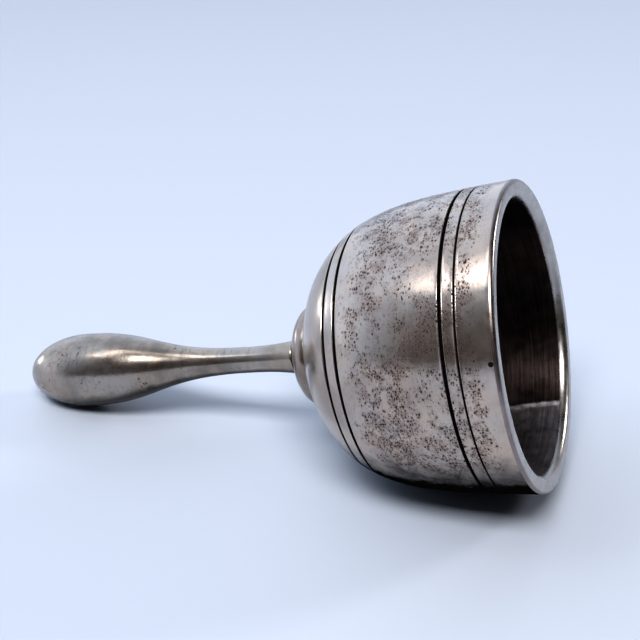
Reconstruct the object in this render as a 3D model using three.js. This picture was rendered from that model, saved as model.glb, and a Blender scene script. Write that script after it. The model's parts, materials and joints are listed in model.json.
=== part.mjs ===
// Bar jigger: a heavy turned cup with a domed collar and a slim teardrop handle,
// lying on its side with the cup's belly and the handle's bulb on the ground.
//
// Units are millimetres and +Z is up. Each piece is turned about one axis. Outlines give
// a point as (distance behind the mouth plane, radius), so distance grows towards the handle.
// The finished group's axis runs along +X, mouth forward, tipped up until it rests.
import * as THREE from 'three';

// Driving dimensions
const mouthRadius = 28;
const cupLength = 41;
const baseRadius = 9.8;          // flat end of the cup, where the collar sits
const rimEdgeRound = 0.8;        // outer corner of the rim
const rimEdgeRadius = 27.95;     // radius of the outside where that corner ends
const rimFaceInner = 26.1;       // inner edge of the flat face of the rim
const throatRadius = 24.6;       // inside radius just behind the rounded lip
const throatDepth = 1.6;
const bowlDepth = 33;
const collarLength = 4.4;
const collarEdge = 0.55;         // straight edge of the collar before its dome
const collarTopRadius = 3.1;
const washerRadius = 2.9;
const washerThickness = 1.0;
const neckEndRadius = 3.25;
const neckRadius = 2.55;
const bulbRadius = 7.5;
const neckStart = 57.6;          // where the neck is slimmest
const bulbMiddle = 94;           // where the bulb is widest
const totalLength = 107.4;
const studRadius = 1.5;
const studClearance = 0.35;      // room round the stud in every hole
const studInCup = 4.8;
const studInHandle = 8;
const studChamfer = 0.4;
const seam = 0.1;                // gap left between faces that meet
const handleLean = THREE.MathUtils.degToRad(1.5); // how far the handle has bent off the axis

// Turned grooves on the cup: middle of each groove, its width and its depth
const grooves = [
  { at: 6.6, width: 0.25, depth: 0.25 },
  { at: 9.1, width: 0.5, depth: 0.45 },
  { at: 29.1, width: 0.6, depth: 0.45 },
  { at: 31.7, width: 0.7, depth: 0.45 },
];

const cupSides = 72;             // all divide by four, so that a flat side faces down
const collarSides = 48;
const handleSides = 48;
const studSides = 24;

// Places along the axis that follow from the dimensions above
const holeRadius = studRadius + studClearance;
const collarStart = cupLength + seam;
const collarEnd = collarStart + collarLength;
const washerStart = collarEnd + seam;
const washerEnd = washerStart + washerThickness;
const leanGap = neckEndRadius * Math.sin(handleLean);
const handleStart = washerEnd + seam + leanGap;
const studHoleInCup = cupLength - studInCup - studClearance;
const studHoleInHandle = handleStart + studInHandle + studClearance;

const at = (distance, radius) => new THREE.Vector2(distance, radius);

// Colours of the worn plate: clean on the cup, warmer on the collar and handle
const material = (color, roughness) =>
  new THREE.MeshStandardMaterial({ color, roughness, metalness: 1 });
const plate = material(0x9c9896, 0.32);
const collarPlate = material(0x968f84, 0.35);
const handlePlate = material(0x8d867d, 0.38);
const darkBrass = material(0x2b2420, 0.7);
const steel = material(0x77787a, 0.45);

// A quarter of an ellipse from one point to another. It leaves the first point along the
// axis when startsAlongAxis is true, and square to the axis when it is false.
function quarterArc(from, to, startsAlongAxis, steps) {
  const points = [];
  for (let step = 0; step <= steps; step += 1) {
    const angle = (step / steps) * (Math.PI / 2);
    const early = Math.sin(angle);
    const late = 1 - Math.cos(angle);
    const along = startsAlongAxis ? early : late;
    const outward = startsAlongAxis ? late : early;
    points.push(at(from.x + (to.x - from.x) * along, from.y + (to.y - from.y) * outward));
  }
  return points;
}

// The point of a curve at a given distance, for curves whose distance always grows.
function pointAtDistance(curve, distance) {
  let low = 0;
  let high = 1;
  for (let pass = 0; pass < 40; pass += 1) {
    const middle = (low + high) / 2;
    if (curve.getPoint(middle).x < distance) low = middle;
    else high = middle;
  }
  return curve.getPoint(low);
}

// Turns a closed outline about the axis. The geometry's own +Z runs towards the mouth.
function turn(outline, sides) {
  const profile = outline.map((point) => new THREE.Vector2(point.y, -point.x)).reverse();
  const geometry = new THREE.LatheGeometry(profile, sides, Math.PI / sides);
  geometry.rotateX(Math.PI / 2);
  return geometry;
}

function piece(name, outline, sides, finish) {
  const mesh = new THREE.Mesh(turn(outline, sides), finish);
  mesh.name = name;
  return mesh;
}

// The outside of the cup from the rim to its flat end, with the grooves cut in.
function cupOutside() {
  const wall = new THREE.CubicBezierCurve(
    at(0, mouthRadius), at(20, 26.8), at(35, 27.6), at(cupLength, baseRadius));
  const onWall = wall.getPoints(30).filter((point) => point.x > rimEdgeRound * 2
    && grooves.every((groove) => Math.abs(point.x - groove.at) > groove.width));
  const cuts = grooves.flatMap((groove) => {
    const cut = (offset, depth) => {
      const edge = pointAtDistance(wall, groove.at + offset);
      return at(edge.x, edge.y - depth);
    };
    const half = groove.width / 2;
    return [cut(-half, 0), cut(-half / 3, groove.depth), cut(half / 3, groove.depth), cut(half, 0)];
  });
  return [...onWall, ...cuts].sort((a, b) => a.x - b.x);
}

// The bowl, its rounded lip, the flat rim face, the outside and the blind hole for the stud.
function cup() {
  const bowl = new THREE.CubicBezierCurve(
    at(throatDepth, throatRadius), at(20, 23.9), at(bowlDepth, 22.5), at(bowlDepth, 0));
  const lip = quarterArc(at(0, rimFaceInner), at(throatDepth, throatRadius), false, 5);
  const edge = quarterArc(
    at(0, mouthRadius - rimEdgeRound), at(rimEdgeRound, rimEdgeRadius), false, 4);
  const hole = [
    at(cupLength, holeRadius), at(studHoleInCup, holeRadius), at(studHoleInCup - holeRadius / 2, 0)];
  const outline = [
    ...bowl.getPoints(20).reverse(),
    ...lip.slice(0, -1).reverse(),
    ...edge,
    ...cupOutside(),
    ...hole,
  ];
  return piece('cup', outline, cupSides, plate);
}

// A ring with a short straight edge and a domed back.
function collar() {
  const shoulder = at(collarStart + collarEdge, baseRadius);
  const outline = [
    at(collarStart, holeRadius),
    at(collarStart, baseRadius),
    ...quarterArc(shoulder, at(collarEnd, collarTopRadius), true, 12),
    at(collarEnd, holeRadius),
    at(collarStart, holeRadius),
  ];
  return piece('collar', outline, collarSides, collarPlate);
}

function handleWasher() {
  const outline = [
    at(washerStart, holeRadius),
    at(washerStart, washerRadius),
    at(washerEnd, washerRadius),
    at(washerEnd, holeRadius),
    at(washerStart, holeRadius),
  ];
  return piece('handle_washer', outline, collarSides, darkBrass);
}

// The hidden stud that screws into the cup and the handle, with chamfered ends.
function stud() {
  const start = cupLength - studInCup;
  const end = handleStart + studInHandle;
  const outline = [
    at(start, 0),
    at(start, studRadius - studChamfer),
    at(start + studChamfer, studRadius),
    at(end - studChamfer, studRadius),
    at(end, studRadius - studChamfer),
    at(end, 0),
  ];
  return piece('stud', outline, studSides, steel);
}

// The handle: a flared neck that slims, then swells into a bulb with a rounded end.
function handle() {
  const flare = new THREE.CubicBezierCurve(
    at(handleStart, neckEndRadius), at(50, 2.76), at(52.7, neckRadius), at(neckStart, neckRadius));
  const swell = new THREE.CubicBezierCurve(
    at(neckStart, neckRadius), at(78, neckRadius), at(78, bulbRadius), at(bulbMiddle, bulbRadius));
  const outline = [
    at(studHoleInHandle + holeRadius / 2, 0),
    at(studHoleInHandle, holeRadius),
    at(handleStart, holeRadius),
    ...flare.getPoints(8),
    ...swell.getPoints(20).slice(1),
    ...quarterArc(at(bulbMiddle, bulbRadius), at(totalLength, 0), true, 14).slice(1),
  ];
  return piece('handle', outline, handleSides, handlePlate);
}

// The handle turns about the middle of its end face, so that its tip rises by the lean.
function leaningHandle() {
  const mesh = handle();
  mesh.geometry.translate(0, 0, handleStart);
  const joint = new THREE.Group();
  joint.position.z = -handleStart;
  joint.rotation.y = handleLean;
  joint.add(mesh);
  return joint;
}

const lowest = (object) => new THREE.Box3().setFromObject(object, true).min.z;

// Tips the axis up from level until the cup and the handle are equally low, then stands the
// whole object on z = 0 with the middle of its box over the origin.
function restOnGround(object, front, back) {
  let level = 0;
  let steep = Math.PI / 4;
  for (let pass = 0; pass < 50; pass += 1) {
    const tilt = (level + steep) / 2;
    object.rotation.y = Math.PI / 2 - tilt;
    object.updateMatrixWorld(true);
    if (lowest(back) > lowest(front)) level = tilt;
    else steep = tilt;
  }
  const box = new THREE.Box3().setFromObject(object, true);
  object.position.set(-(box.min.x + box.max.x) / 2, 0, -box.min.z);
  object.updateMatrixWorld(true);
}

const cupPiece = cup();
const handlePiece = leaningHandle();
const turnedAxis = new THREE.Group();
turnedAxis.add(cupPiece, collar(), handleWasher(), stud(), handlePiece);
restOnGround(turnedAxis, cupPiece, handlePiece);

const jigger = new THREE.Group();
jigger.add(turnedAxis);

export default jigger;
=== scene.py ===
"""Looks of the bar jigger: a worn plated spirit measure lying on a pale floor.

Every visible piece is turned about the jigger's axis. Outlines are in millimetres and give a
point as (distance behind the mouth plane, radius), as the CAD part does. Materials work in
turned space, so pits, rings and stains follow the metal. Turned space is in millimetres: +Z runs
along the axis to the mouth, and +X points towards the side that the jigger rests on.
"""
import json
import math

import bpy
import numpy as np
from mathutils import Matrix, Vector


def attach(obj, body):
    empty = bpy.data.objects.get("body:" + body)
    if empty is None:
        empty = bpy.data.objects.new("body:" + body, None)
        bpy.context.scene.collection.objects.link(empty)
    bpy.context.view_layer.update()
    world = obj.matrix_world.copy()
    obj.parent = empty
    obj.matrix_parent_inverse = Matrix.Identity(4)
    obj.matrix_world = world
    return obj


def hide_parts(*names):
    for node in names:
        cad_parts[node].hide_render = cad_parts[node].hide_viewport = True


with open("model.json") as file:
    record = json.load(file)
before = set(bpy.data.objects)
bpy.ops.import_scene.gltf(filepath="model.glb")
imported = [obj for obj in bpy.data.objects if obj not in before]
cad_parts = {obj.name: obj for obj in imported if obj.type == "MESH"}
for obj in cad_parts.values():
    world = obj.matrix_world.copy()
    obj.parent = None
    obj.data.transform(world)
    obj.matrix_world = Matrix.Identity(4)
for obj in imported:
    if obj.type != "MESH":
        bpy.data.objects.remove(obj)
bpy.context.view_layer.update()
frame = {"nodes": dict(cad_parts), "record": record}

MM = 0.001

# Driving dimensions, the same as the CAD part's, in mm
MOUTH_RADIUS = 28.0
CUP_LENGTH = 41.0
BASE_RADIUS = 9.8
RIM_EDGE_ROUND = 0.8
RIM_EDGE_RADIUS = 27.95
RIM_FACE_INNER = 26.1
THROAT_RADIUS = 24.6
THROAT_DEPTH = 1.6
BOWL_DEPTH = 33.0
HOLE_RADIUS = 1.85
HOLE_IN_CUP = 5.15
HOLE_IN_HANDLE = 8.35
SEAM = 0.1
COLLAR_LENGTH = 4.4
COLLAR_EDGE = 0.55
COLLAR_TOP_RADIUS = 3.1
WASHER_RADIUS = 2.9
WASHER_THICKNESS = 1.0
NECK_END_RADIUS = 3.25
NECK_RADIUS = 2.55
NECK_START = 57.6
BULB_RADIUS = 7.5
BULB_MIDDLE = 94.0
TOTAL_LENGTH = 107.4
HANDLE_LEAN = math.radians(1.5)
GROOVES = [  # middle, width, depth
    (6.6, 0.25, 0.25),
    (9.1, 0.50, 0.45),
    (29.1, 0.60, 0.45),
    (31.7, 0.70, 0.45),
]

# Places that follow from them
COLLAR_START = CUP_LENGTH + SEAM
COLLAR_END = COLLAR_START + COLLAR_LENGTH
WASHER_START = COLLAR_END + SEAM
WASHER_END = WASHER_START + WASHER_THICKNESS
HANDLE_START = WASHER_END + SEAM + NECK_END_RADIUS * math.sin(HANDLE_LEAN)
MOUNT_RADIUS = (RIM_FACE_INNER + MOUTH_RADIUS - RIM_EDGE_ROUND) / 2   # middle of the flat rim

# Fine surface that only the visible pieces have, in mm
GROOVE_SHOULDER = 0.10     # the width of the rounded edge of a groove
GROOVE_LIP = 0.03          # the height of the raised lip outside that edge
LIP_OFFSET = 1.6           # how far out the lip is, in shoulders
GROOVE_MARGIN = 0.3        # how far outside a groove the wall is finely divided
GROOVE_DARK_FROM = 0.05    # the depth at which the black of a groove begins
WALL_STEP = 0.45
GROOVE_STEP = 0.035
SMALL_EDGE = 0.15
CUP_SIDES = 256
HANDLE_SIDES = 192
WASHER_SIDES = 96
SAME_POINT = 1e-6
SHARP_ANGLE = math.radians(40)

# Linear colours, and a tint that multiplies one
CUP_CLEAN = (0.51, 0.46, 0.42, 1.0)
CUP_WARM = (0.41, 0.35, 0.31, 1.0)
COLLAR_CLEAN = (0.36, 0.315, 0.285, 1.0)
COLLAR_WARM = (0.25, 0.205, 0.175, 1.0)
HANDLE_CLEAN = (0.41, 0.38, 0.35, 1.0)
HANDLE_WARM = (0.26, 0.23, 0.20, 1.0)
ROSY_TINT = (1.12, 1.03, 0.95)
STAIN = (0.185, 0.12, 0.105, 1.0)
# Painted shade: near black, darkening the side that the jigger rests on as if it reflected the
# shadow beneath it
PAINTED_SHADE = (0.009, 0.008, 0.008, 1.0)
PIT_FLOOR = (0.022, 0.013, 0.012, 1.0)
RIM = (0.50, 0.475, 0.455, 1.0)
# Painted shade: the outer half of the rim's edge round is coloured darker, standing in for the dark
# room that it reflects
SHADED_RIM_EDGE = (0.34, 0.285, 0.275, 1.0)
BOWL_DARK = (0.030, 0.022, 0.021, 1.0)
BOWL_LIGHT = (0.080, 0.060, 0.056, 1.0)
# Painted reflection in the bowl: a paler strip, with a painted highlight along its upper edge
REFLECTION_STRIP_DARK = (0.27, 0.245, 0.26, 1.0)
REFLECTION_STRIP_LIGHT = (0.50, 0.46, 0.49, 1.0)
PAINTED_HIGHLIGHT = (1.0, 0.96, 1.0, 1.0)
GROOVE_DARK = (0.003, 0.002, 0.002, 1.0)
GROOVE_LIGHT = (0.014, 0.011, 0.010, 1.0)
# The washer: dark tarnish, and partly painted shade for the shadowed gap between the collar and the
# handle
WASHER_DARK = (0.03, 0.02, 0.016, 1.0)
WASHER_LIGHT = (0.10, 0.07, 0.05, 1.0)
STEEL = (0.45, 0.45, 0.46, 1.0)

# How worn plate looks apart from its colours, with depths in mm
PLATE_METALLIC = 0.88
PLATE_SPECULAR = 0.5
WORN_ROUGHER = 0.07
HAZE_TONE = 0.65
# Painted shade on the resting side: where it starts and is full, and how uneven its border is
SHADE_BORDER = (0.42, 0.78)    # how far round towards the resting side it starts, and is full
SHADE_UNEVEN = 0.24
MARK_DEPTH = 0.001
WAVE_DEPTH = 0.03

# Where each plate is worn, in mm behind the mouth: start, full, fading, end
CUP_WORN = (1.2, 5.0, 21.5, 31.5)
COLLAR_WORN = (0.0, 1.0, 200.0, 201.0)      # all over
HANDLE_WORN = (46.0, 70.0, 300.0, 301.0)    # more and more along the neck, then all over

# Corrosion pits, with sizes and distances in cells
PIT_CELLS = [(3.0, 0.66), (17.0, 0.44)]     # seed, and the width of a cell in mm
PIT_CHANCE = (0.74, 1.45)                   # chance plus crowd of the smallest and largest pit
PIT_RADIUS = (-0.30, 0.50)                  # the radius of those two; under 0 there is no pit
PIT_SLOPE = (-0.04, 0.34)                   # from the edge of a pit to its full depth
PIT_WANDER = 0.6                            # how far noise pushes its outline about
PIT_SQUASH = 1.5                            # how much shorter it is along the axis
PIT_TONE = 0.96
PIT_DEPTH = 0.004                           # in mm
HALO_SLOPE = (-0.50, 0.08)                  # from the edge of the stain round it to its full tone
HALO_TONE = 0.46

# Marks that have a place of their own, in turned space
NICK = (-7.83, -26.8, -1.25)
NICK_RADIUS = 0.46
RUBBED = (-20.2, -18.5, -10.0)
RUBBED_RADIUS = 6.0

# A painted reflection, the paler strip low in the bowl, in mm
REFLECTION_STRIP_LOW = 20.4           # it starts this far below the axis
REFLECTION_STRIP_FADE = (8.0, 16.0)   # and fades out between these distances behind the mouth

# Stage, with places and distances in metres
CAMERA_PLACE = Vector((0.0736, -0.1920, 0.1274))
CAMERA_TURN = math.radians(18.86)
CAMERA_DIP = math.radians(26.22)
CAMERA_LENS = 67.5
CAMERA_SENSOR = 36.0
FLOOR_HALF = 6.0
FLOOR_COLOUR = (0.55, 0.59, 0.67, 1.0)
FLOOR_ROUGHNESS = 0.6
BACKDROP = (0.59, 0.66, 0.79, 1.0)
FADE_START = 0.42          # the floor fades into the backdrop from here
FADE_END = 0.85            # to here
SKY = (0.84, 0.96, 1.15, 1.0)
DARK_ROOM = (0.045, 0.038, 0.036, 1.0)
DARK_SIDE = (0.848, -0.530, 0.0)
DARK_START = -0.72         # cosines of the angle from the dark side, where the room begins
DARK_FULL = 0.08           # and where it is fully dark
LAMP_TARGET = (0.0, 0.0, 0.03)
EXPOSURE = -0.13


# ---------------------------------------------------------------- place of the turned axis

def jigger_space():
    """The matrix from turned space to the frame, found from the mount."""
    mount = next(m for m in frame["record"]["mounts"] if m["name"] == "mouth_rim")
    forward = Vector(mount["axis"]).normalized()
    sideways = Vector((0.0, 1.0, 0.0))
    upward = forward.cross(sideways)
    space = Matrix((-upward, sideways, forward)).transposed().to_4x4()
    space.translation = Vector(mount["pos_m"]) - upward * MOUNT_RADIUS * MM
    return space


def handle_space(space):
    """The handle leans a little about the middle of its end face."""
    end_face = Matrix.Translation((0, 0, -HANDLE_START * MM))
    return space @ end_face @ Matrix.Rotation(HANDLE_LEAN, 4, "Y") @ end_face.inverted()


# ---------------------------------------------------------------- outlines

def bezier(p0, p1, p2, p3, steps):
    t = np.linspace(0.0, 1.0, steps + 1)[:, None]
    p0, p1, p2, p3 = (np.array(p, float) for p in (p0, p1, p2, p3))
    return (1 - t) ** 3 * p0 + 3 * (1 - t) ** 2 * t * p1 + 3 * (1 - t) * t ** 2 * p2 + t ** 3 * p3


def quarter_arc(start, end, steps, along_axis_first=True):
    """A quarter ellipse that leaves its start along the axis, or square to it."""
    angle = np.linspace(0.0, math.pi / 2, steps + 1)
    along, outward = np.sin(angle), 1 - np.cos(angle)
    if not along_axis_first:
        along, outward = outward, along
    return np.stack([start[0] + (end[0] - start[0]) * along,
                     start[1] + (end[1] - start[1]) * outward], axis=1)


def groove_cut(offset, width, depth):
    """Depth below the wall at a distance from a groove's middle, less than 0 on its raised lips."""
    beyond = np.abs(offset) - width / 2
    floor = depth / (1.0 + np.exp(beyond / (GROOVE_SHOULDER / 4)))
    lip = GROOVE_LIP * np.exp(-((beyond / GROOVE_SHOULDER - LIP_OFFSET) ** 2))
    return floor - lip


def cup_wall():
    """Points of the cup's outside, from rim to flat end, and how deep in a groove each is."""
    wall = bezier((0, MOUTH_RADIUS), (20, 26.8), (35, 27.6), (CUP_LENGTH, BASE_RADIUS), steps=4000)
    spacing = np.full(len(wall), WALL_STEP)
    for middle, width, _ in GROOVES:
        spacing[np.abs(wall[:, 0] - middle) < width / 2 + GROOVE_MARGIN] = GROOVE_STEP
    step = np.linalg.norm(np.diff(wall, axis=0), axis=1)
    count = np.concatenate([[0.0], np.cumsum(step / spacing[1:])])
    keep = np.searchsorted(count, np.arange(0.0, count[-1]))
    keep = keep[wall[keep, 0] > RIM_EDGE_ROUND + WALL_STEP / 2]

    tangent = np.gradient(wall, axis=0)
    tangent /= np.linalg.norm(tangent, axis=1)[:, None]
    outward = np.stack([-tangent[:, 1], tangent[:, 0]], axis=1)
    cut = np.zeros(len(wall))
    for middle, width, depth in GROOVES:
        cut += groove_cut((wall[:, 0] - middle) / tangent[:, 0], width, depth)
    points = wall - outward * cut[:, None]
    return points[keep], cut[keep]


# ---------------------------------------------------------------- meshes

def add_object(name, data):
    added = bpy.data.objects.new(name, data)
    bpy.context.scene.collection.objects.link(added)
    return added


def joined(strips):
    """All points of the strips in one list, without repeats, and the material slot of each."""
    outline, slots = [], []
    for slot, strip in strips:
        for distance, radius in strip:
            if outline and math.dist(outline[-1], (distance, radius)) < SAME_POINT:
                continue
            outline.append((distance, radius))
            slots.append(slot)
    return outline, slots


def turned_rings(outline, space, sides):
    """The vertices of all points turned about the axis, and each point's ring of vertex numbers."""
    vertices, rings = [], []
    for distance, radius in outline:
        first = len(vertices)
        on_axis = radius < SAME_POINT
        for side in range(1 if on_axis else sides):
            angle = 2 * math.pi * side / sides
            point = Vector((radius * math.cos(angle), radius * math.sin(angle), -distance)) * MM
            vertices.append(space @ point)
        rings.append([first] * sides if on_axis else list(range(first, first + sides)))
    return vertices, rings


def revolve(name, strips, space, sides, finishes):
    """A closed turned object with its materials.

    strips holds (material slot, points) from one end of the outline to the other. The outline
    either starts and ends on the axis or ends at its own first point.
    """
    outline, slots = joined(strips)
    is_ring = math.dist(outline[0], outline[-1]) < SAME_POINT
    vertices, rings = turned_rings(outline[:-1] if is_ring else outline, space, sides)
    if is_ring:
        rings.append(rings[0])
    faces, face_slots = [], []
    for here, there, slot in zip(rings, rings[1:], slots[1:]):
        for side in range(sides):
            following = (side + 1) % sides
            corners = (here[side], there[side], there[following], here[following])
            faces.append(list(dict.fromkeys(corners)))
            face_slots.append(slot)
    mesh = bpy.data.meshes.new(name)
    mesh.from_pydata(vertices, [], faces)
    for finish in finishes:
        mesh.materials.append(finish)
    mesh.polygons.foreach_set("material_index", face_slots)
    mesh.polygons.foreach_set("use_smooth", [True] * len(faces))
    mesh.set_sharp_from_angle(angle=SHARP_ANGLE)
    return add_object(name, mesh)


# ---------------------------------------------------------------- node tools

def new_material(name):
    material = bpy.data.materials.new(name)
    material.use_nodes = True
    return material


def feed(tree, socket, value):
    """Sets a socket to a plain value, or links it when the value is another socket."""
    if isinstance(value, bpy.types.NodeSocket):
        tree.links.new(value, socket)
    else:
        socket.default_value = value


def add_node(tree, kind, inputs=None, **settings):
    node = tree.nodes.new(kind)
    for name, value in settings.items():
        setattr(node, name, value)
    for key, value in (inputs or {}).items():
        feed(tree, node.inputs[key], value)
    return node


class Finish:
    """Builds one node material in the turned space of a piece, in mm."""

    def __init__(self, name, space):
        self.material = new_material(name)
        self.tree = self.material.node_tree
        world_place = self.node("ShaderNodeTexCoord").outputs["Object"]
        turned = self.node("ShaderNodeMapping", {
            "Vector": world_place,
            "Location": space.translation,
            "Rotation": space.to_euler(),
            "Scale": (MM, MM, MM)}, vector_type="TEXTURE")
        self.place = turned.outputs["Vector"]

    def node(self, kind, inputs=None, **settings):
        return add_node(self.tree, kind, inputs, **settings)

    def combine(self, operation, a, b):
        return self.node("ShaderNodeMath", {0: a, 1: b}, operation=operation).outputs["Value"]

    def plus(self, a, b):
        return self.combine("ADD", a, b)

    def minus(self, a, b):
        return self.combine("SUBTRACT", a, b)

    def times(self, a, b):
        return self.combine("MULTIPLY", a, b)

    def greater(self, a, b):
        return self.combine("MAXIMUM", a, b)

    def mix(self, amount, a, b):
        node = self.node("ShaderNodeMix", {0: amount, 6: a, 7: b}, data_type="RGBA")
        return node.outputs[2]

    def ramp(self, value, low, high, to_low=0.0, to_high=1.0):
        """A smooth change from to_low to to_high as value goes from low to high."""
        node = self.node("ShaderNodeMapRange", {
            "Value": value, "From Min": low, "From Max": high,
            "To Min": to_low, "To Max": to_high}, interpolation_type="SMOOTHSTEP")
        return node.outputs["Result"]

    def stretched(self, factors, offset):
        node = self.node("ShaderNodeVectorMath", {0: self.place, 1: factors, 2: offset},
                         operation="MULTIPLY_ADD")
        return node.outputs["Vector"]

    def noise(self, scale, detail=3.0, roughness=0.5, stretch=(1.0, 1.0, 1.0), seed=0.0):
        """Noise whose features are about 1 / scale mm across."""
        node = self.node("ShaderNodeTexNoise", {
            "Vector": self.stretched(stretch, (seed, seed * 0.7, seed * 1.3)),
            "Scale": scale, "Detail": detail, "Roughness": roughness})
        return node.outputs["Fac"]

    def patches(self, scale, low, high, faint=0.0, full=1.0, **noise):
        """Noise made into patches: faint where it is under low, and full where it is over high."""
        return self.ramp(self.noise(scale, **noise), low, high, faint, full)

    def rings(self, fineness, seed=0.0):
        """Turning marks: noise that is fine along the axis and long round it."""
        return self.noise(1.0, detail=4.0, roughness=0.6, stretch=(0.1, 0.1, fineness), seed=seed)

    def coordinate(self, letter):
        return self.node("ShaderNodeSeparateXYZ", {"Vector": self.place}).outputs[letter]

    def distance(self):
        """Distance behind the mouth plane."""
        return self.times(self.coordinate("Z"), -1.0)

    def distance_from(self, place):
        node = self.node("ShaderNodeVectorMath", {0: self.place, 1: place}, operation="DISTANCE")
        return node.outputs["Value"]

    def lowness(self):
        """How far below the axis, towards the resting side."""
        return self.coordinate("X")

    def downward(self):
        """How far round towards the resting side: 1 right under the axis, -1 right above it."""
        across = self.node("ShaderNodeCombineXYZ", {
            "X": self.coordinate("X"), "Y": self.coordinate("Y")})
        unit = self.node("ShaderNodeVectorMath", {0: across.outputs["Vector"]},
                         operation="NORMALIZE")
        return self.node("ShaderNodeSeparateXYZ", {"Vector": unit.outputs["Vector"]}).outputs["X"]

    def bump(self, height, depth, under=None):
        """A bump of that depth in mm for a height from 0 to 1."""
        inputs = {"Height": height, "Distance": depth * MM}
        if under is not None:
            inputs["Normal"] = under
        return self.node("ShaderNodeBump", inputs).outputs["Normal"]

    def done(self, colour, roughness, metallic, normal, specular=0.5):
        shader = self.tree.nodes["Principled BSDF"]
        sockets = {"Base Color": colour, "Roughness": roughness, "Metallic": metallic,
                   "Normal": normal, "Specular IOR Level": specular}
        for name, value in sockets.items():
            feed(self.tree, shader.inputs[name], value)
        return self.material


# ---------------------------------------------------------------- worn plate

def plate_colour(m, clean, warm):
    """Plate with warmer patches, rosier patches, and warmer streaks along the turning marks."""
    rosy = [part * tint for part, tint in zip(clean, ROSY_TINT)] + [1.0]
    warmer = m.patches(0.11, low=0.38, high=0.66, detail=4.0, roughness=0.55)
    rosier = m.patches(0.17, low=0.42, high=0.66, full=0.7, roughness=0.55, seed=14.0)
    streaks = m.ramp(m.rings(1.5, seed=8.0), 0.48, 0.70, to_high=0.28)
    return m.mix(streaks, m.mix(rosier, m.mix(warmer, clean, warm), rosy), warm)


def pit_crowd(m, worn, density, rubbed):
    """How crowded the pits are: clustered in the worn zone, and few where the plate is rubbed."""
    along = m.distance()
    start, full, fading, end = worn
    zone = m.times(m.ramp(along, start, full), m.ramp(along, fading, end, to_low=1.0, to_high=0.0))
    wide = m.patches(0.09, low=0.38, high=0.58, faint=0.55, detail=2.0, seed=4.0)
    clusters = m.patches(0.38, low=0.38, high=0.60, faint=0.30, roughness=0.6, seed=9.0)
    crowd = m.times(m.times(zone, density), m.times(wide, clusters))
    if rubbed:
        away = m.distance_from(rubbed)
        crowd = m.times(crowd, m.ramp(away, RUBBED_RADIUS * 0.4, RUBBED_RADIUS, to_low=0.3))
    return crowd


def pits(m, seed, cell, crowd):
    """Small pits, one in each cell at most, in more of the cells where crowd is higher.

    The result is over 0 inside a pit and falls with the distance from its edge, in cells.
    """
    wander = m.node("ShaderNodeTexNoise", {"Vector": m.place, "Scale": 1.2 / cell, "Detail": 2.0})
    place = m.stretched((1.0, 1.0, PIT_SQUASH), (seed,) * 3)
    wandered = m.node("ShaderNodeVectorMath", {
        0: wander.outputs["Color"], 1: (cell * PIT_WANDER,) * 3, 2: place},
        operation="MULTIPLY_ADD")
    cells = m.node("ShaderNodeTexVoronoi", {
        "Vector": wandered.outputs["Vector"], "Scale": 1.0 / cell})
    chance = m.node("ShaderNodeSeparateColor", {"Color": cells.outputs["Color"]}).outputs["Red"]
    radius = m.ramp(m.plus(chance, crowd), *PIT_CHANCE, *PIT_RADIUS)
    return m.minus(radius, cells.outputs["Distance"])


def resting_side_shade(m, amount):
    """Painted shade on the side that the jigger rests on, with an uneven border: it darkens the
    underside as if it reflected the shadow beneath.
    """
    uneven = m.times(m.noise(0.35, detail=4.0, roughness=0.6, seed=21.0), SHADE_UNEVEN)
    return m.times(m.ramp(m.plus(m.downward(), uneven), *SHADE_BORDER), amount)


def plate_relief(m, deep):
    """Turning marks, a slight waviness, and hollows where the pits are."""
    marks = m.bump(m.rings(7.0), MARK_DEPTH)
    waves = m.bump(m.noise(0.25, detail=2.0, seed=2.0), WAVE_DEPTH, under=marks)
    return m.bump(deep, -PIT_DEPTH, under=waves)


def worn_plate(name, space, clean, warm, worn, density, roughness, underside_shade,
               nick=None, rubbed=None):
    """Tarnished plate with corrosion pits, and with painted shade on the side that it rests on.

    worn is (start, full, fading, end) along the axis, in mm behind the mouth. nick and
    rubbed are the places in turned space of one deep round pit and of a patch with few pits.
    """
    m = Finish(name, space)
    crowd = pit_crowd(m, worn, density, rubbed)
    pitting = m.greater(*(pits(m, seed, cell, crowd) for seed, cell in PIT_CELLS))
    deep = m.ramp(pitting, *PIT_SLOPE)
    halo = m.ramp(pitting, *HALO_SLOPE, to_high=HALO_TONE)
    haze = m.times(m.ramp(crowd, 0.2, 0.9),
                   m.patches(1.1, low=0.35, high=0.7, detail=4.0, roughness=0.6, seed=6.0))
    # painted shade on the resting side
    painted_shade_and_nick_dirt = resting_side_shade(m, underside_shade)
    if nick:
        away = m.distance_from(nick)
        hole = m.ramp(away, NICK_RADIUS * 0.8, NICK_RADIUS * 1.2, to_low=1.0, to_high=0.0)
        deep = m.greater(deep, hole)
        # the nick is filled with real dirt, in the same mask as the painted shade
        painted_shade_and_nick_dirt = m.greater(painted_shade_and_nick_dirt, hole)

    stain = m.greater(m.times(haze, HAZE_TONE), halo)
    colour = m.mix(stain, plate_colour(m, clean, warm), STAIN)
    # painted shade on the resting side, and dirt in the nick
    colour = m.mix(painted_shade_and_nick_dirt, colour, PAINTED_SHADE)
    colour = m.mix(m.times(deep, PIT_TONE), colour, PIT_FLOOR)
    wear = m.patches(0.5, low=0.35, high=0.65, faint=roughness, full=roughness + WORN_ROUGHER,
                     detail=5.0, roughness=0.6, seed=12.0)
    dull = m.plus(wear, m.plus(m.times(haze, 0.05), m.times(deep, 0.35)))
    # metal is not bare in the pits, in the nick or under the painted shade
    bare = m.minus(1.0, m.greater(m.times(deep, 0.7), painted_shade_and_nick_dirt))
    return m.done(colour, dull, metallic=m.times(bare, PLATE_METALLIC),
                  normal=plate_relief(m, deep), specular=m.times(bare, PLATE_SPECULAR))


# ---------------------------------------------------------------- other materials

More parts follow.
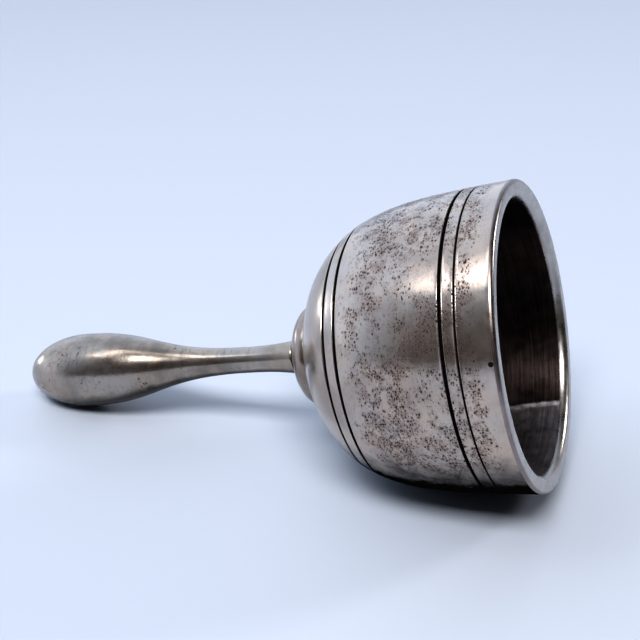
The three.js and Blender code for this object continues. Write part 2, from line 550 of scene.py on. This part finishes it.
def polished_rim(name, space, clean):
    """Nearly bare metal, a little duller in patches."""
    m = Finish(name, space)
    dulled = [part * 0.8 for part in clean[:3]] + [1.0]
    patches = m.patches(0.15, low=0.40, high=0.65, detail=4.0, roughness=0.6)
    roughness = m.patches(0.5, low=0.3, high=0.7, faint=0.26, full=0.36, roughness=0.6)
    return m.done(m.mix(patches, clean, dulled), roughness, metallic=1.0,
                  normal=m.bump(m.rings(5.0), MARK_DEPTH))


def dark_bowl(space):
    """The tarnished inside of the cup, with a painted reflection: a paler strip low down near the
    mouth.

    A painted highlight, a bright broken line, runs along the upper edge of the strip.
    """
    m = Finish("dark_bowl", space)
    mottling = m.noise(0.2, detail=4.0, roughness=0.6)
    tone = m.ramp(m.plus(m.rings(3.0), mottling), 0.7, 1.25)
    black = m.mix(tone, BOWL_DARK, BOWL_LIGHT)
    # colours of the painted reflection
    reflected_grey = m.mix(tone, REFLECTION_STRIP_DARK, REFLECTION_STRIP_LIGHT)

    low = m.plus(m.lowness(), m.times(m.noise(0.4, detail=2.0), 0.4))
    near_mouth = m.ramp(m.distance(), *REFLECTION_STRIP_FADE, to_low=1.0, to_high=0.0)
    # painted reflection: the bowl is paler below this height, near the mouth
    strip = m.ramp(low, REFLECTION_STRIP_LOW, REFLECTION_STRIP_LOW + 1.0)
    # painted highlight: a bright broken line along the strip's upper edge
    highlight_line = m.times(m.ramp(low, REFLECTION_STRIP_LOW + 0.1, REFLECTION_STRIP_LOW + 0.4),
                   m.ramp(low, REFLECTION_STRIP_LOW + 0.5, REFLECTION_STRIP_LOW + 0.9, to_low=1.0, to_high=0.0))
    broken_highlight = m.patches(0.9, low=0.25, high=0.6, faint=0.5, roughness=0.6, seed=5.0)
    colour = m.mix(m.times(strip, near_mouth), black, reflected_grey)
    colour = m.mix(m.times(m.times(highlight_line, broken_highlight), near_mouth), colour, PAINTED_HIGHLIGHT)
    roughness = m.patches(0.6, low=0.3, high=0.7, faint=0.32, full=0.42)
    return m.done(colour, roughness, metallic=0.97, normal=m.bump(m.rings(9.0, seed=3.0), 0.02))


def tarnish(name, space, dark, light):
    """Dull dark metal: tarnish in the grooves; on the washer, tarnish and painted shade of the gap
    that it sits in.
    """
    m = Finish(name, space)
    patches = m.patches(0.8, low=0.35, high=0.7, detail=4.0, roughness=0.6)
    return m.done(m.mix(patches, dark, light), roughness=0.75, metallic=0.2,
                  normal=m.bump(m.noise(3.0), 0.01), specular=0.1)


def stud_steel(space):
    m = Finish("stud_steel", space)
    roughness = m.patches(0.7, low=0.3, high=0.7, faint=0.35, full=0.5)
    return m.done(STEEL, roughness, metallic=1.0, normal=m.bump(m.rings(6.0), 0.01))


# ---------------------------------------------------------------- pieces

def make_cup(space):
    """The bowl, its rounded lip, the flat rim, the outside and the blind hole for the stud."""
    inside, rim, wall, groove, rim_edge = range(5)
    finishes = [
        dark_bowl(space),
        polished_rim("polished_rim", space, RIM),
        # painted shade over all of the resting side
        worn_plate("worn_plate", space, CUP_CLEAN, CUP_WARM, CUP_WORN, density=1.05,
                   roughness=0.17, underside_shade=1.0, nick=NICK, rubbed=RUBBED),
        tarnish("groove_tarnish", space, GROOVE_DARK, GROOVE_LIGHT),
        # outer half of the edge round, coloured darker as painted shade
        polished_rim("shaded_rim_edge", space, SHADED_RIM_EDGE),
    ]
    bowl = bezier((THROAT_DEPTH, THROAT_RADIUS), (20, 23.9), (BOWL_DEPTH, 22.5), (BOWL_DEPTH, 0),
                  steps=80)
    lip = quarter_arc((0, RIM_FACE_INNER), (THROAT_DEPTH, THROAT_RADIUS), steps=14,
                      along_axis_first=False)
    edge = quarter_arc((0, MOUTH_RADIUS - RIM_EDGE_ROUND), (RIM_EDGE_ROUND, RIM_EDGE_RADIUS),
                       steps=10, along_axis_first=False)
    half = len(edge) // 2
    hole_end = CUP_LENGTH - HOLE_IN_CUP
    strips = [(inside, bowl[::-1]), (rim, lip[::-1]), (rim, edge[:half]), (rim_edge, edge[half:])]
    strips += [(groove if depth > GROOVE_DARK_FROM else wall, [point])
               for point, depth in zip(*cup_wall())]
    strips += [(wall, [(CUP_LENGTH, BASE_RADIUS), (CUP_LENGTH, HOLE_RADIUS)]),
               (groove, [(hole_end, HOLE_RADIUS), (hole_end - HOLE_RADIUS / 2, 0.0)])]
    return revolve("jigger_cup", strips, space, CUP_SIDES, finishes)


def make_collar(space):
    """A ring with a small rounded corner, a short straight edge and a domed back."""
    # a little painted shade on the resting side
    finish = worn_plate("collar_plate", space, COLLAR_CLEAN, COLLAR_WARM, COLLAR_WORN,
                        density=0.2, roughness=0.2, underside_shade=0.3)
    face = (COLLAR_START, BASE_RADIUS - SMALL_EDGE)
    edge = (COLLAR_START + SMALL_EDGE, BASE_RADIUS)
    shoulder = (COLLAR_START + COLLAR_EDGE, BASE_RADIUS)
    outline = [(COLLAR_START, HOLE_RADIUS),
               *quarter_arc(face, edge, steps=4, along_axis_first=False),
               *quarter_arc(shoulder, (COLLAR_END, COLLAR_TOP_RADIUS), steps=48),
               (COLLAR_END, HOLE_RADIUS),
               (COLLAR_START, HOLE_RADIUS)]
    return revolve("jigger_collar", [(0, outline)], space, HANDLE_SIDES, [finish])


def make_handle_washer(space):
    """A thin ring with rounded outer corners."""
    # near black: tarnish, and painted shade of the gap it fills
    finish = tarnish("washer_tarnish_and_shade", space, WASHER_DARK, WASHER_LIGHT)
    inner = WASHER_RADIUS - SMALL_EDGE
    outline = [(WASHER_START, HOLE_RADIUS),
               *quarter_arc((WASHER_START, inner), (WASHER_START + SMALL_EDGE, WASHER_RADIUS),
                            steps=4, along_axis_first=False),
               *quarter_arc((WASHER_END - SMALL_EDGE, WASHER_RADIUS), (WASHER_END, inner), steps=4),
               (WASHER_END, HOLE_RADIUS),
               (WASHER_START, HOLE_RADIUS)]
    return revolve("jigger_handle_washer", [(0, outline)], space, WASHER_SIDES, [finish])


def make_handle(space):
    """A flared neck that slims and swells into a bulb, with a blind hole for the stud."""
    # painted shade on the handle's resting side
    finish = worn_plate("handle_plate", space, HANDLE_CLEAN, HANDLE_WARM, HANDLE_WORN,
                        density=0.37, roughness=0.19, underside_shade=0.85)
    flare = bezier((HANDLE_START, NECK_END_RADIUS), (50, 2.76), (52.7, NECK_RADIUS),
                   (NECK_START, NECK_RADIUS), steps=40)
    swell = bezier((NECK_START, NECK_RADIUS), (78, NECK_RADIUS), (78, BULB_RADIUS),
                   (BULB_MIDDLE, BULB_RADIUS), steps=90)
    tip = quarter_arc((BULB_MIDDLE, BULB_RADIUS), (TOTAL_LENGTH, 0.0), steps=60)
    edge = quarter_arc((HANDLE_START, NECK_END_RADIUS - SMALL_EDGE), flare[1], steps=4,
                       along_axis_first=False)
    hole_end = HANDLE_START + HOLE_IN_HANDLE
    outline = [(hole_end + HOLE_RADIUS / 2, 0.0), (hole_end, HOLE_RADIUS),
               (HANDLE_START, HOLE_RADIUS), *edge, *flare[2:], *swell, *tip]
    return revolve("jigger_handle", [(0, outline)], space, HANDLE_SIDES, [finish])


# ---------------------------------------------------------------- stage

def add_camera():
    data = bpy.data.cameras.new("photo_camera")
    data.lens = CAMERA_LENS
    data.sensor_width = CAMERA_SENSOR
    data.clip_start = 0.01
    eye = add_object("photo_camera", data)
    eye.location = CAMERA_PLACE
    eye.rotation_euler = (math.pi / 2 - CAMERA_DIP, 0.0, CAMERA_TURN)
    bpy.context.scene.camera = eye


def fade_to_backdrop(tree, shader):
    """Makes the far floor look like the backdrop to the camera, and only to the camera."""
    place = add_node(tree, "ShaderNodeTexCoord").outputs["Object"]
    away = add_node(tree, "ShaderNodeVectorMath", {0: place}, operation="LENGTH")
    far = add_node(tree, "ShaderNodeMapRange", {
        "Value": away.outputs["Value"], "From Min": FADE_START, "From Max": FADE_END},
        interpolation_type="SMOOTHSTEP")
    to_camera = add_node(tree, "ShaderNodeLightPath").outputs["Is Camera Ray"]
    amount = add_node(tree, "ShaderNodeMath", {0: far.outputs["Result"], 1: to_camera},
                      operation="MULTIPLY")
    glow = add_node(tree, "ShaderNodeEmission", {"Color": BACKDROP})
    pick = add_node(tree, "ShaderNodeMixShader", {
        0: amount.outputs["Value"],
        1: shader.outputs["BSDF"],
        2: glow.outputs["Emission"]})
    feed(tree, tree.nodes["Material Output"].inputs["Surface"], pick.outputs["Shader"])


def add_floor():
    half = FLOOR_HALF
    corners = [(-half, -half, 0), (half, -half, 0), (half, half, 0), (-half, half, 0)]
    mesh = bpy.data.meshes.new("floor")
    mesh.from_pydata(corners, [], [(0, 1, 2, 3)])
    floor = add_object("floor", mesh)
    material = new_material("pale_floor")
    shader = material.node_tree.nodes["Principled BSDF"]
    shader.inputs["Base Color"].default_value = FLOOR_COLOUR
    shader.inputs["Roughness"].default_value = FLOOR_ROUGHNESS
    fade_to_backdrop(material.node_tree, shader)
    mesh.materials.append(material)


def add_world():
    """Pale sky to the left and behind, and a dark room elsewhere. The camera sees the backdrop."""
    world = bpy.data.worlds.new("studio")
    world.use_nodes = True
    bpy.context.scene.world = world
    tree = world.node_tree
    tree.nodes.clear()
    direction = add_node(tree, "ShaderNodeTexCoord").outputs["Generated"]
    towards = add_node(tree, "ShaderNodeVectorMath", {0: direction, 1: DARK_SIDE},
                       operation="DOT_PRODUCT")
    dark = add_node(tree, "ShaderNodeMapRange", {
        "Value": towards.outputs["Value"], "From Min": DARK_START, "From Max": DARK_FULL},
        interpolation_type="SMOOTHSTEP")
    colour = add_node(tree, "ShaderNodeMix", {0: dark.outputs["Result"], 6: SKY, 7: DARK_ROOM},
                      data_type="RGBA")
    lit = add_node(tree, "ShaderNodeBackground", {"Color": colour.outputs[2]})
    seen = add_node(tree, "ShaderNodeBackground", {"Color": BACKDROP})
    to_camera = add_node(tree, "ShaderNodeLightPath").outputs["Is Camera Ray"]
    pick = add_node(tree, "ShaderNodeMixShader", {
        0: to_camera,
        1: lit.outputs["Background"],
        2: seen.outputs["Background"]})
    add_node(tree, "ShaderNodeOutputWorld", {"Surface": pick.outputs["Shader"]})


def add_softbox(name, place, size, brightness, target=LAMP_TARGET, roll=0.0):
    """A rectangular lamp that the camera doesn't see. Its brightness is its radiance."""
    data = bpy.data.lights.new(name, "AREA")
    data.shape = "RECTANGLE"
    data.size, data.size_y = size
    data.energy = brightness * math.pi * size[0] * size[1]
    lamp = add_object(name, data)
    lamp.location = place
    aim = (Vector(target) - Vector(place)).to_track_quat("-Z", "Y")
    lamp.rotation_euler = (aim.to_matrix() @ Matrix.Rotation(roll, 3, "Z")).to_euler()
    lamp.visible_camera = False


def set_stage():
    add_camera()
    add_floor()
    add_world()
    add_softbox("left_softbox", place=(-0.682, -0.315, 1.209), size=(0.24, 0.66), brightness=2.9,
                target=(0.182, 0.126, 0.067), roll=math.radians(28))
    add_softbox("front_softbox", place=(0.12, -0.744, 1.23), size=(0.96, 0.42), brightness=13.0)
    add_softbox("right_softbox", place=(1.06, 0.83, 0.69), size=(0.3, 0.3), brightness=18.0)
    add_softbox("side_lamp", place=(-0.95, 0.26, 0.045), size=(0.22, 0.08), brightness=7.0)
    view = bpy.context.scene.view_settings
    view.view_transform = "Standard"
    view.look = "High Contrast"
    view.exposure = EXPOSURE


# ---------------------------------------------------------------- build

def dress(piece, node):
    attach(piece, "root")
    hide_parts(node)


set_stage()
turned = jigger_space()
dress(make_cup(turned), "cup")
dress(make_collar(turned), "collar")
dress(make_handle_washer(turned), "handle_washer")
dress(make_handle(handle_space(turned)), "handle")
stud = frame["nodes"]["stud"]
stud.data.materials.clear()
stud.data.materials.append(stud_steel(turned))
